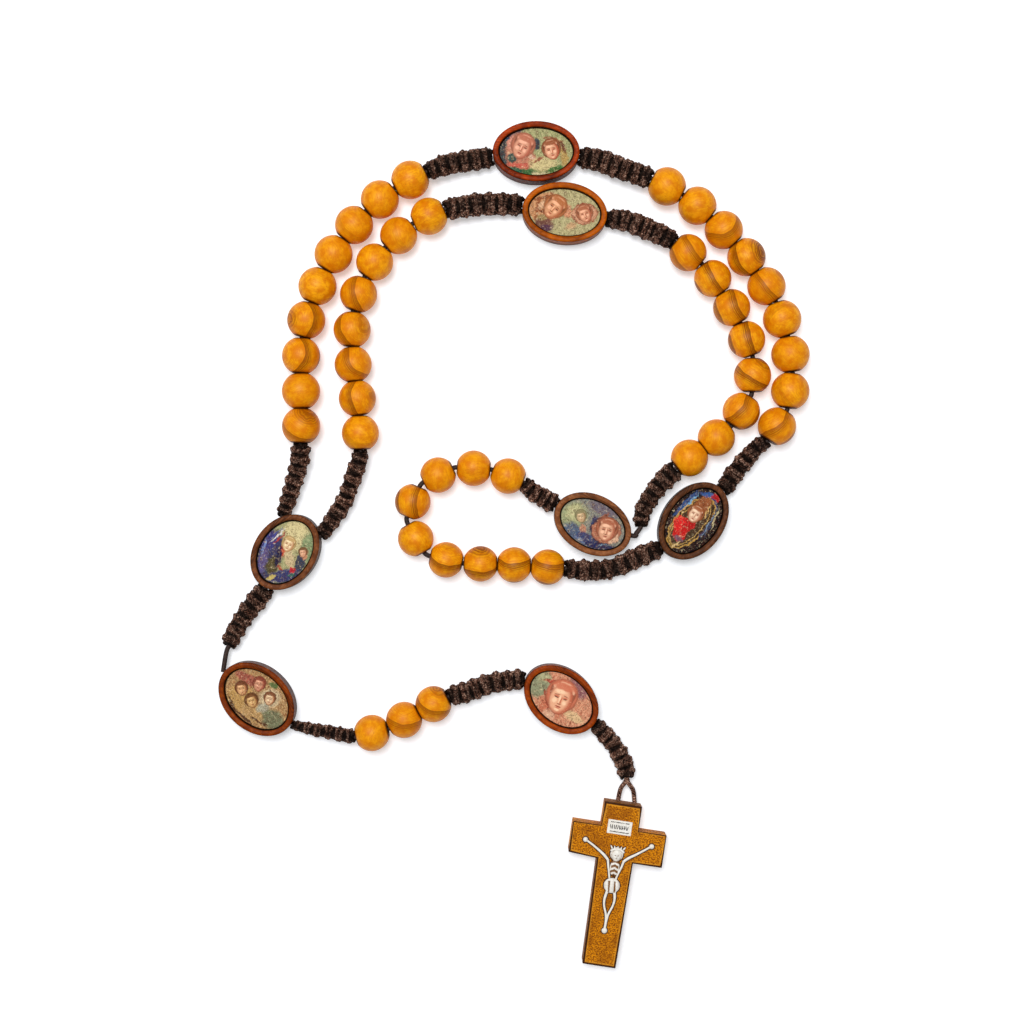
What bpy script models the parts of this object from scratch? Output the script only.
"""Wooden rosary laid flat on a table: beads, oval picture medallions, knotted cords and a crucifix.

Millimetres are used for the driving dimensions and turned into metres when an object is made.
The rosary lies in the XY plane with +Z up and rests on z = 0.
"""
import math

import bmesh
import bpy
from mathutils import Matrix, Vector

MM = 0.001
NAME = "rosary"
SHIFT = Vector((0.21, 0.01, 0.0))      # brings the middle of the outline to the origin

# beads: (diameter across the cord, length along the cord); each is a ball cut flat at the hole's ends
BEAD_LARGE = (7.9, 6.95)
BEAD_INNER = (7.7, 6.8)
BEAD_LOOP = (7.4, 6.75)
BEAD_PENDANT = (7.5, 6.6)
BEAD_CLEAR = 0.09                      # half the room left between neighbours
BEAD_OUT = 0.5                         # from a bead's end face to the first knot
BORE_R = 0.8
BEAD_STEPS = 14
BEAD_ARCS = 6
BEND_SHARE = 1.05                      # a chain of beads bends more sharply than its route
STEP_ALONG = 0.02                      # fineness of the search for a bead's place on its route

# cord
CORD_R = 0.5
CORD_Z = 2.5
LOBE_WAIST = 0.8                       # radius between lobes, as a share of the lobe's own
LOBE_FACE = (0.3, 0.7)                 # where a lobe reaches and leaves its full radius
END_FACE = 0.55                        # radius of a knotted section's last face, as a share
KNOT_STEPS = 10
GAP = 0.3                              # from a ball lobe or a bare cord to a medallion's wall
KNOT_GAP = 0.45                        # from a square end face to a medallion's wall
OBLIQUE_GAP = 0.8                      # the same where the cord leaves at a slant
INSIDE = 0.1                           # how far a cord's change of direction lies past a face

# ball lobes at the pivots: radius of each, and (distance, radius) shares of the rings of its round cap
BALL_LARGE = 2.45
BALL_K4 = 2.3
BALL_K7 = 2.4
BALL_K12 = 1.25
BALL_K13 = 1.8
BALL_K14 = 1.9
BALL_NEAR = (0.5, 0.87)
BALL_CAP = ((0.5, 0.87), (0.82, 0.57), (0.97, 0.24))
BALL_CLEAR = 0.75                      # share of the ball's radius in which no other ring stands

# medallions
MEDAL_T = 5.0
MEDAL_RIM = 1.4
MEDAL_RECESS = 1.0
MEDAL_TAPER = 0.25
MEDAL_EDGE = 0.35
MEDAL_SIDES = 36
BORE_SIDES = 12
BORE_PAST = 2.0                        # how far a drill runs out past the wall
BORE_STEP = 0.02                       # each next bore is this much wider,
BORE_TURN = 0.26                       # and turned by this, so that no two facets meet edge to edge
SPAN_STEPS = 24

# crucifix
CROSS_T = 4.6
CROSS_LEAN = -8.7
CROSS_TOP = (22.6, -53.7)
CROSS_EDGE = 0.4
CROSS_PIVOT_GAP = 0.85
LEG_OFFSETS = (-1.1, 2.4)
LEG_STEM = 0.8                         # below the knot, where the legs part
LEG_FOOT = 0.5                         # length of the straight foot of a leg
LEG_LEAN = 0.15
LEG_END = 0.8                          # radius of a leg's end, as a share of the cord's
SECOND_LEG = (0.2, 0.3)                # the second leg's start: distance up into the knot, and sideways
CROSS_OUTLINE = (
    (-3.9, 0.0), (3.9, 0.0), (3.9, -5.1), (9.8, -5.1), (9.8, -11.9), (3.75, -11.9), (3.45, -33.9),
    (-3.45, -33.9), (-3.75, -11.9), (-9.8, -11.5), (-9.8, -5.0), (-3.9, -5.0),
)

# medallions: centre, half length, half width, angle of the long axis, angles at which a cord leaves
MEDALLIONS = {
    "medallion_top_outer": ((4.5, 81.4), 9.0, 6.25, 0.0, (-5.0, 185.0)),
    "medallion_top_inner": ((10.4, 68.8), 8.8, 6.2, -6.4, (-7.5, 168.5)),
    "medallion_right": ((37.1, 4.9), 8.8, 6.35, 54.0, (45.0, 220.0)),
    "medallion_middle": ((16.2, 4.2), 8.4, 6.1, -27.4, (-16.0, 153.0)),
    "medallion_centre": ((-47.5, -1.6), 8.4, 6.5, 55.5, (96.0, 25.0, 240.0)),
    "medallion_pendant_upper": ((-53.4, -32.0), 8.8, 6.55, -42.0, (-38.0, 143.0)),
    "medallion_pendant_lower": ((9.7, -32.1), 8.5, 6.25, -37.8, (-36.0, 151.0)),
}

# routes of the strands: the middle of the first bead to the middle of the last bead
STRANDS = {
    "strand_1": (BEAD_LARGE, 9, ((-21.6, 75.7), (-28.0, 71.8), (-33.4, 66.2), (-37.9, 59.8), (-41.1, 53.1),
                                 (-43.5, 46.0), (-44.4, 38.7), (-44.2, 31.6), (-44.1, 24.2))),
    "strand_2": (BEAD_LARGE, 9, ((31.6, 74.5), (37.9, 70.4), (43.6, 65.2), (48.3, 59.2), (52.6, 53.3),
                                 (55.8, 46.5), (57.4, 38.9), (57.5, 31.4), (55.1, 24.6))),
    "strand_3": (BEAD_LOOP, 9, ((-1.0, 14.5), (-8.3, 16.0), (-16.2, 15.2), (-21.8, 9.2), (-22.1, 0.8),
                                (-15.4, -3.5), (-7.7, -3.9), (-0.6, -4.2), (6.6, -4.6))),
    "strand_4": (BEAD_INNER, 8, ((36.1, 61.0), (40.8, 55.8), (44.7, 49.8), (48.1, 43.2), (49.8, 36.0),
                                 (48.3, 28.4), (43.0, 22.8), (36.8, 18.5))),
    "strand_5": (BEAD_INNER, 8, ((-17.7, 68.5), (-24.2, 64.2), (-29.3, 58.5), (-32.6, 52.0), (-33.9, 44.8),
                                 (-33.5, 37.5), (-32.6, 30.2), (-31.6, 22.9))),
    "pendant": (BEAD_PENDANT, 3, ((-29.7, -39.7), (-23.3, -36.7), (-17.2, -33.1))),
}

# points on the cord just before the first bead and just after the last bead of each strand
LEADS = {
    "strand_1": ((-15.6, 78.4), (-44.6, 17.9)),
    "strand_2": ((25.5, 76.9), (50.9, 19.9)),
    "strand_3": ((4.6, 11.2), (13.2, -5.3)),
    "strand_4": ((30.6, 64.0), (31.7, 14.4)),
    "strand_5": ((-11.2, 70.2), (-32.2, 17.0)),
    "pendant": ((-36.2, -39.9), (-11.2, -30.5)),
}

# knotted sections: points between their two ends, radius at the start and at the end, number of lobes
KNOTS = {
    "k1": (((-44.5, 17.9), (-45.0, 15.6), (-45.9, 12.7), (-46.7, 10.2)), 2.25, 1.6, 7),
    "k2": (((-14.0, 78.9), (-10.5, 79.6)), 2.1, 2.45, 6),
    "k3": (((18.0, 79.7), (22.5, 77.9)), 2.4, 2.3, 7),
    "k4": (((50.3, 20.2), (48.2, 17.7), (46.5, 15.8)), 1.7, 2.3, 5),
    "k5": (((12.5, -5.2), (15.6, -5.4), (18.8, -5.3), (21.9, -4.4), (25.0, -3.0)), 2.2, 2.2, 8),
    "k6": (((3.8, 10.9), (5.9, 9.8)), 1.7, 2.3, 4),
    "k7": (((29.9, 12.1), (28.2, 9.7), (26.9, 7.6), (26.4, 5.6)), 2.4, 1.8, 6),
    "k8": (((22.2, 67.5), (26.2, 66.1), (30.4, 64.3)), 2.3, 2.3, 6),
    "k9": (((-9.5, 70.3), (-5.0, 70.8)), 2.3, 2.45, 6),
    "k10": (((-32.2, 17.5), (-33.1, 15.0), (-34.1, 12.3), (-35.1, 9.6), (-36.4, 7.2)), 1.9, 1.9, 8),
    "k11": (((-52.6, -10.4), (-54.4, -12.5), (-56.1, -14.8), (-57.5, -17.1), (-58.7, -19.2)), 2.4, 1.9, 6),
    "k12": (((-42.0, -38.4), (-38.3, -39.0)), 1.2, 1.7, 6),
    "k13": (((-9.8, -30.6), (-4.6, -28.8)), 2.3, 2.2, 7),
    "k14": (((20.3, -41.2), (21.8, -43.6), (23.0, -46.0)), 1.9, 2.0, 6),
}
K7_END = (26.4, 3.9)
K7_TAIL = ((26.2, 2.7), (25.6, 1.7))
K11_END = (-59.4, -21.0)
K11_TAIL = ((-60.0, -22.6),)
K11_DROP = 0.3                         # the last lobe of k11 lies this much lower
K14_END = (23.4, -48.5)

WOOD_BEAD = ((0.80, 0.36, 0.05), 0.38)
WOOD_DARK = ((0.20, 0.08, 0.03), 0.40)
WOOD_RED = ((0.46, 0.13, 0.04), 0.40)
WOOD_CROSS = ((0.55, 0.28, 0.05), 0.55)
CORD_BROWN = ((0.045, 0.025, 0.018), 0.90)


def collection(name, hidden=False):
    """A new collection linked to the scene."""
    group = bpy.data.collections.new(name)
    bpy.context.scene.collection.children.link(group)
    group.hide_render = hidden
    return group


for old in list(bpy.data.objects):
    bpy.data.objects.remove(old, do_unlink=True)
PARTS = collection(NAME)
CUTTERS = collection("cutters", hidden=True)


def material(name, look):
    """A Principled material of one colour and roughness."""
    colour, roughness = look
    mat = bpy.data.materials.new(name)
    mat.use_nodes = True
    shader = mat.node_tree.nodes["Principled BSDF"]
    shader.inputs["Base Color"].default_value = (*colour, 1.0)
    shader.inputs["Roughness"].default_value = roughness
    shader.inputs["Metallic"].default_value = 0.0
    return mat


def place(point):
    """Millimetres in the layout to metres in the world."""
    return (Vector(point) + SHIFT) * MM


def new_object(name, mesh, group, look=None):
    """Link a mesh as a named object with its own material."""
    obj = bpy.data.objects.new(name, mesh)
    group.objects.link(obj)
    if look:
        mesh.materials.clear()
        mesh.materials.append(material(name, look))
    return obj


def flat(point, z):
    return Vector((point[0], point[1], z))


def smooth_route(points, per_span=SPAN_STEPS):
    """Points read from a smooth curve through the route points."""
    pts = [Vector(p) for p in points]
    ends = [pts[0] * 2 - pts[1]] + pts + [pts[-1] * 2 - pts[-2]]
    route = []
    for a, b, c, d in zip(ends, ends[1:], ends[2:], ends[3:]):
        for i in range(per_span):
            t = i / per_span
            route.append(0.5 * (2 * b + (c - a) * t + (2 * a - 5 * b + 4 * c - d) * t * t
                                + (3 * b - a - 3 * c + d) * t ** 3))
    return route + [pts[-1]]


def along(route, distance):
    """The point and direction at a distance along a route; past its end the route runs on straight."""
    for a, b in zip(route, route[1:]):
        step = (b - a).length
        if distance <= step and step > 0:
            return a + (b - a) * (distance / step), (b - a).normalized()
        distance -= step
    end = (route[-1] - route[-2]).normalized()
    return route[-1] + end * distance, end


def route_length(route):
    return sum((b - a).length for a, b in zip(route, route[1:]))


def flat_radius(bead):
    """Radius of the flat where the ball is cut off at each end of its hole."""
    diameter, length = bead
    return math.sqrt(diameter ** 2 - length ** 2) / 2


def room(bead, bend):
    """Cord between a bead's end face and the point where the chain bends by an angle."""
    diameter, length = bead
    turn = bend * BEND_SHARE / 2
    reach = length / 2 * math.cos(turn) + flat_radius(bead) * math.sin(turn)
    if math.sin(turn) * diameter / 2 > flat_radius(bead):
        reach = diameter / 2
    return (reach + BEAD_CLEAR) / math.cos(turn) - length / 2


def string_beads(bead, count, points, leads):
    """Beads on a chain of straight cord lengths that bends in the gaps, wider where it bends more."""
    diameter, length = bead
    before, after = leads
    route = smooth_route([flat(p, diameter / 2) for p in (before, *points, after)])
    step = length + 2 * BEAD_CLEAR

    def likely_room(distance):
        spot, back, ahead = (along(route, distance + shift)[0] for shift in (0.0, -step, step))
        return room(bead, (spot - back).angle(ahead - spot))

    place_now = route_length(route[:SPAN_STEPS + 1]) - step / 2
    here = along(route, place_now)[0]
    kept = likely_room(place_now)
    beads = []
    bends = [here]
    for _ in range(count):
        there = place_now + length
        slack = kept
        while (along(route, there)[0] - here).length < slack + length + likely_room(there):
            there += STEP_ALONG
            if beads:
                bend = beads[-1][1].angle(along(route, there)[0] - here)
                slack = max(kept, 2 * room(bead, bend) - kept)
        end = along(route, there)[0]
        way = (end - here).normalized()
        beads.append((here + way * (slack + length / 2), way))
        bends.append(end)
        place_now, here, kept = there, end, (end - here).length - slack - length
    return beads, bends


def wall_point(name, angle, out):
    """The point on a medallion's wall at an angle from its middle, moved outwards."""
    centre, long_r, short_r, tilt, _ = MEDALLIONS[name]
    turn = math.radians(angle - tilt)
    reach = long_r * short_r / math.hypot(short_r * math.cos(turn), long_r * math.sin(turn)) + out
    way = Vector((math.cos(math.radians(angle)), math.sin(math.radians(angle)), 0))
    return flat(centre, CORD_Z) + way * reach


def bead_end(beads, bead, index, side, out):
    """The point just outside a bead's end face."""
    middle, way = beads[index]
    return middle + way * side * (bead[1] / 2 + out)


def knot(key, start, end, ball_start=None, ball_end=None):
    """Rings of a knotted section from start to end: rounded lobes, with a ball at a pivot end."""
    middle, r0, r1, lobes = KNOTS[key]
    n = len(middle) + 1
    heights = [start.z + (end.z - start.z) * (i + 1) / n for i in range(len(middle))]
    route = smooth_route([start] + [flat(p, z) for p, z in zip(middle, heights)] + [end], KNOT_STEPS)
    total = route_length(route)
    rings = []
    for i in range(lobes):
        for part, swell in ((0.0, LOBE_WAIST), (LOBE_FACE[0], 1.0), (LOBE_FACE[1], 1.0)):
            s = (i + part) / lobes
            rings.append((s * total, (r0 + (r1 - r0) * s) * swell))
    rings = rings[1:]
    near, near_r = BALL_NEAR
    if ball_start:
        rings = [(0.0, ball_start), (near * ball_start, near_r * ball_start)] + [
            r for r in rings if r[0] > BALL_CLEAR * ball_start]
    else:
        rings = [(0.0, r0 * END_FACE)] + rings
    if ball_end:
        rings = [r for r in rings if r[0] < total - BALL_CLEAR * ball_end] + [
            (total - near * ball_end, near_r * ball_end), (total, ball_end)]
    else:
        rings = rings + [(total, r1 * END_FACE)]
    points = [(along(route, s)[0], r) for s, r in rings]
    if ball_start:
        way = along(route, 0.0)[1]
        points = [(start - way * ball_start * a, ball_start * b) for a, b in reversed(BALL_CAP)] + points
    if ball_end:
        way = along(route, total)[1]
        points += [(end + way * ball_end * a, ball_end * b) for a, b in BALL_CAP]
    return points


def cord_mesh(name, points):
    """A closed tube through points with a radius at each."""
    curve = bpy.data.curves.new(name, "CURVE")
    curve.dimensions = "3D"
    curve.bevel_depth = MM
    curve.bevel_resolution = 2
    curve.use_fill_caps = True
    spline = curve.splines.new("POLY")
    spline.points.add(len(points) - 1)
    for slot, (point, radius) in zip(spline.points, points):
        slot.co = (*place(point), 1.0)
        slot.radius = radius
    source = bpy.data.objects.new(name + "_curve", curve)
    CUTTERS.objects.link(source)
    graph = bpy.context.evaluated_depsgraph_get()
    mesh = bpy.data.meshes.new_from_object(source.evaluated_get(graph))
    matrix = source.matrix_world.copy()
    bpy.data.objects.remove(source, do_unlink=True)
    body = bmesh.new()
    body.from_mesh(mesh)
    bmesh.ops.remove_doubles(body, verts=body.verts, dist=0.00001)
    bmesh.ops.recalc_face_normals(body, faces=body.faces)
    body.to_mesh(mesh)
    body.free()
    mesh.name = name
    mesh.transform(matrix)
    return mesh


def join_solids(obj, others):
    """Union solids into one closed body."""
    for other in others:
        other.display_type = "WIRE"
        union = obj.modifiers.new("join", "BOOLEAN")
        union.operation = "UNION"
        union.solver = "EXACT"
        union.object = other


def cut(obj, cutter, label):
    cutter.display_type = "WIRE"
    cutter.hide_render = True
    hole = obj.modifiers.new(label, "BOOLEAN")
    hole.operation = "DIFFERENCE"
    hole.solver = "EXACT"
    hole.object = cutter


def cone(name, bottom_r, top_r, depth, sides, matrix):
    """A cutter cone or cylinder placed by a matrix, its length on the local Z axis."""
    body = bmesh.new()
    bmesh.ops.create_cone(body, cap_ends=True, segments=sides, radius1=bottom_r, radius2=top_r, depth=depth)
    mesh = bpy.data.meshes.new(name)
    body.to_mesh(mesh)
    body.free()
    mesh.transform(matrix)
    return new_object(name, mesh, CUTTERS)


def make_bead(name, bead, middle, way):
    """One turned bead: a ball profile, cut flat at both ends, screwed about the cord hole."""
    diameter, length = bead
    first = math.asin(2 * flat_radius(bead) / diameter)
    profile = []
    for i in range(BEAD_ARCS + 1):
        turn = first + (math.pi - 2 * first) * i / BEAD_ARCS
        profile.append((diameter / 2 * math.sin(turn), diameter / 2 * math.cos(turn)))
    profile += [(BORE_R, -length / 2), (BORE_R, length / 2)]
    mesh = bpy.data.meshes.new(name)
    edges = [(i, (i + 1) % len(profile)) for i in range(len(profile))]
    mesh.from_pydata([(x * MM, 0.0, z * MM) for x, z in profile], edges, [])
    obj = new_object(name, mesh, PARTS, WOOD_BEAD)
    screw = obj.modifiers.new("turn", "SCREW")
    screw.axis = "Z"
    screw.steps = BEAD_STEPS
    screw.render_steps = BEAD_STEPS
    screw.use_merge_vertices = True
    screw.merge_threshold = 0.00001
    screw.use_smooth_shade = True
    obj.matrix_world = Matrix.Translation(place(middle)) @ way.to_track_quat("Z", "Y").to_matrix().to_4x4()
    return obj


def make_medallion(name, look):
    """An oval wooden tablet with a recessed face and a hole for the cord."""
    centre, long_r, short_r, tilt, exits = MEDALLIONS[name]
    turn = Matrix.Rotation(math.radians(tilt), 4, "Z")
    middle = place(flat(centre, MEDAL_T / 2))

    body = bmesh.new()
    bmesh.ops.create_cone(body, cap_ends=True, segments=MEDAL_SIDES, radius1=1.0, radius2=1.0,
                          depth=MEDAL_T * MM)
    mesh = bpy.data.meshes.new(name)
    body.to_mesh(mesh)
    body.free()
    mesh.transform(turn @ Matrix.Diagonal((long_r * MM, short_r * MM, 1.0, 1.0)))
    obj = new_object(name, mesh, PARTS, look)
    obj.location = middle

    inner_a, inner_b = long_r - MEDAL_RIM, short_r - MEDAL_RIM
    depth = MEDAL_RECESS * 2
    shape = turn @ Matrix.Diagonal((inner_a * MM, inner_b * MM, MM, 1.0))
    taper = MEDAL_TAPER / inner_b
    recess = cone(name + "_recess", 1.0 - taper, 1.0 + taper, depth, MEDAL_SIDES,
                  Matrix.Translation(place(flat(centre, MEDAL_T))) @ shape)
    cut(obj, recess, "recess")
    soften = obj.modifiers.new("edge", "BEVEL")
    soften.width = MEDAL_EDGE * MM
    soften.segments = 1
    soften.limit_method = "ANGLE"
    soften.angle_limit = math.radians(60)
    for number, angle in enumerate(exits):
        way = Vector((math.cos(math.radians(angle)), math.sin(math.radians(angle)), 0))
        radius = BORE_R + BORE_STEP * number
        depth = long_r + BORE_PAST + BORE_R
        start = flat(centre, CORD_Z) - way * BORE_R
        spin = way.to_track_quat("Z", "Y").to_matrix().to_4x4() @ Matrix.Rotation(BORE_TURN * number, 4, "Z")
        bore = cone(f"{name}_bore_{number}", radius * MM, radius * MM, depth * MM, BORE_SIDES,
                    Matrix.Translation(place(start + way * depth / 2)) @ spin)
        cut(obj, bore, f"bore_{number}")
    return obj


# beads
chains, bends = {}, {}
for strand, (bead, count, points) in STRANDS.items():
    chains[strand], bends[strand] = string_beads(bead, count, points, LEADS[strand])
    for number, (middle, way) in enumerate(chains[strand], 1):
        make_bead(f"{strand}_bead_{number}", bead, middle, way)

# medallions
for medallion, look in (("medallion_top_outer", WOOD_RED), ("medallion_top_inner", WOOD_CROSS),
                        ("medallion_right", WOOD_DARK), ("medallion_middle", WOOD_DARK),
                        ("medallion_centre", WOOD_DARK), ("medallion_pendant_upper", WOOD_RED),
                        ("medallion_pendant_lower", WOOD_RED)):
    make_medallion(medallion, look)


def strand_end(strand, index, side, out=BEAD_OUT):
    bead, _, _ = STRANDS[strand]
    return bead_end(chains[strand], bead, index, side, out)


def core(strand, backwards=False):
    """Cord points through a run of beads: straight in each bead, bent in the gaps."""
    points = [(p, CORD_R) for p in bends[strand]]
    return points[::-1] if backwards else points


def middle_of(name):
    return flat(MEDALLIONS[name][0], CORD_Z), CORD_R


def bare(points, z=CORD_Z):
    return [(flat(p, z), CORD_R) for p in points]


def exit_point(name, number, out):
    """The point outside a medallion's wall at one of its cord holes."""
    return wall_point(name, MEDALLIONS[name][4][number], out)


def through(name, first=None, last=None, out=(INSIDE, INSIDE)):
    """Cord points inside a medallion, from the wall at one hole over its middle to the wall at another."""
    points = [middle_of(name)]
    if first is not None:
        points = [(exit_point(name, first, out[0]), CORD_R)] + points
    if last is not None:
        points.append((exit_point(name, last, out[1]), CORD_R))
    return points


ball_k2 = exit_point("medallion_top_outer", 1, GAP + BALL_LARGE)
ball_k9 = exit_point("medallion_top_inner", 1, GAP + BALL_LARGE)
ball_k4 = exit_point("medallion_right", 0, GAP + BALL_K4)
ball_k7 = strand_end("strand_4", -1, 1, GAP + BALL_K7)
ball_k7.z = CORD_Z
ball_k12 = exit_point("medallion_pendant_upper", 0, GAP + BALL_K12)
ball_k13 = exit_point("medallion_pendant_lower", 1, GAP + BALL_K13)
ball_k14 = exit_point("medallion_pendant_lower", 0, GAP + BALL_K14)
tail_m6 = exit_point("medallion_pendant_upper", 1, GAP + CORD_R)

# left cord: two strands that meet inside the centre medallion, and the branch to the pendant
left_run = knot("k2", strand_end("strand_1", 0, -1), ball_k2, ball_end=BALL_LARGE)[::-1]
left_run += core("strand_1")
left_run += knot("k1", strand_end("strand_1", -1, 1), exit_point("medallion_centre", 0, OBLIQUE_GAP))
left_run += through("medallion_centre", 0, 1)
left_run += knot("k10", strand_end("strand_5", -1, 1), exit_point("medallion_centre", 1, OBLIQUE_GAP))[::-1]
left_run += core("strand_5", backwards=True)
left_run += knot("k9", strand_end("strand_5", 0, -1), ball_k9, ball_end=BALL_LARGE)
branch = through("medallion_centre", last=2)
branch += knot("k11", exit_point("medallion_centre", 2, KNOT_GAP), flat(K11_END, CORD_Z - K11_DROP))
branch += bare(K11_TAIL) + [(tail_m6, CORD_R)]
left = new_object("cord_left", cord_mesh("cord_left", left_run), PARTS, CORD_BROWN)
join_solids(left, [new_object("cord_left_branch", cord_mesh("cord_left_branch", branch), CUTTERS)])

# right outer cord: through the upper medallion and the outer strand
right_outer = through("medallion_top_outer", first=1, last=0, out=(-INSIDE, INSIDE))
right_outer += knot("k3", exit_point("medallion_top_outer", 0, KNOT_GAP), strand_end("strand_2", 0, -1))
right_outer += core("strand_2")
right_outer += knot("k4", strand_end("strand_2", -1, 1), ball_k4, ball_end=BALL_K4)
new_object("cord_right_outer", cord_mesh("cord_right_outer", right_outer), PARTS, CORD_BROWN)

# right inner cord: through the second medallion and the inner strand
right_inner = through("medallion_top_inner", first=1, last=0, out=(-INSIDE, INSIDE))
right_inner += knot("k8", exit_point("medallion_top_inner", 0, KNOT_GAP), strand_end("strand_4", 0, -1))
right_inner += core("strand_4")[:-1] + [(strand_end("strand_4", -1, 1, -INSIDE), CORD_R)]
new_object("cord_right_inner", cord_mesh("cord_right_inner", right_inner), PARTS, CORD_BROWN)

# lower loop cord: from the right medallion round the small loop and through the middle medallion
loop = through("medallion_right", first=0, last=1, out=(-INSIDE, INSIDE))
loop += knot("k5", strand_end("strand_3", -1, 1), exit_point("medallion_right", 1, KNOT_GAP))[::-1]
loop += core("strand_3", backwards=True)
loop += knot("k6", strand_end("strand_3", 0, -1), exit_point("medallion_middle", 1, KNOT_GAP))
loop += through("medallion_middle", 1) + [(exit_point("medallion_middle", 0, GAP), CORD_R)]
loop += bare(K7_TAIL[::-1])
loop += knot("k7", ball_k7, flat(K7_END, CORD_Z), ball_start=BALL_K7)[::-1]
new_object("cord_lower_loop", cord_mesh("cord_lower_loop", loop), PARTS, CORD_BROWN)

# pendant cord with its three beads
pendant = knot("k12", ball_k12, strand_end("pendant", 0, -1), ball_start=BALL_K12)
pendant += core("pendant")
pendant += knot("k13", strand_end("pendant", -1, 1), ball_k13, ball_end=BALL_K13)
new_object("cord_pendant", cord_mesh("cord_pendant", pendant), PARTS, CORD_BROWN)

# cross cord: a knotted section and the two legs of its loop
lean = Matrix.Rotation(math.radians(CROSS_LEAN), 4, "Z")
across = lean @ Vector((1, 0, 0))
down = lean @ Vector((0, -1, 0))
cross_top = flat(CROSS_TOP, CROSS_T / 2)
pivot = cross_top - down * CROSS_PIVOT_GAP
feet = [pivot + across * offset for offset in LEG_OFFSETS]
knot_end = flat(K14_END, CORD_Z)
stem = knot_end + down * LEG_STEM
leg_up, leg_side = SECOND_LEG
first = knot("k14", ball_k14, knot_end, ball_start=BALL_K14) + [
    (stem, CORD_R), (feet[0] - down * LEG_FOOT + across * LEG_LEAN, CORD_R), (feet[0], CORD_R * LEG_END)]
second = [(knot_end - down * leg_up, CORD_R), (stem + across * leg_side, CORD_R),
          (feet[1] - down * LEG_FOOT - across * LEG_LEAN, CORD_R), (feet[1], CORD_R * LEG_END)]
cross_cord = new_object("cord_cross", cord_mesh("cord_cross", first), PARTS, CORD_BROWN)
join_solids(cross_cord, [new_object("cord_cross_leg", cord_mesh("cord_cross_leg", second), CUTTERS)])

# crucifix
body = bmesh.new()
corners = [body.verts.new((x * MM, y * MM, -CROSS_T / 2 * MM)) for x, y in CROSS_OUTLINE]
body.faces.new(corners[::-1])
lift = bmesh.ops.extrude_face_region(body, geom=body.faces[:])
raised = [v for v in lift["geom"] if isinstance(v, bmesh.types.BMVert)]
bmesh.ops.translate(body, vec=(0, 0, CROSS_T * MM), verts=raised)
bmesh.ops.recalc_face_normals(body, faces=body.faces)
cross_mesh = bpy.data.meshes.new("cross")
body.to_mesh(cross_mesh)
body.free()
cross = new_object("cross", cross_mesh, PARTS, WOOD_CROSS)
cross_mesh.transform(lean)
cross.location = place(cross_top)
soften = cross.modifiers.new("edge", "BEVEL")
soften.width = CROSS_EDGE * MM
soften.segments = 2
soften.limit_method = "ANGLE"
soften.angle_limit = math.radians(40)

# origins on the joint axes
for node, point in (("cord_left", ball_k2), ("cord_lower_loop", ball_k7), ("cord_pendant", ball_k12),
                    ("cord_cross", ball_k14), ("cross", pivot), ("medallion_pendant_upper", tail_m6),
                    ("medallion_pendant_lower", ball_k13)):
    obj = bpy.data.objects[node]
    shift = obj.location.copy()
    obj.data.transform(Matrix.Translation(shift - place(point)))
    obj.location = place(point)
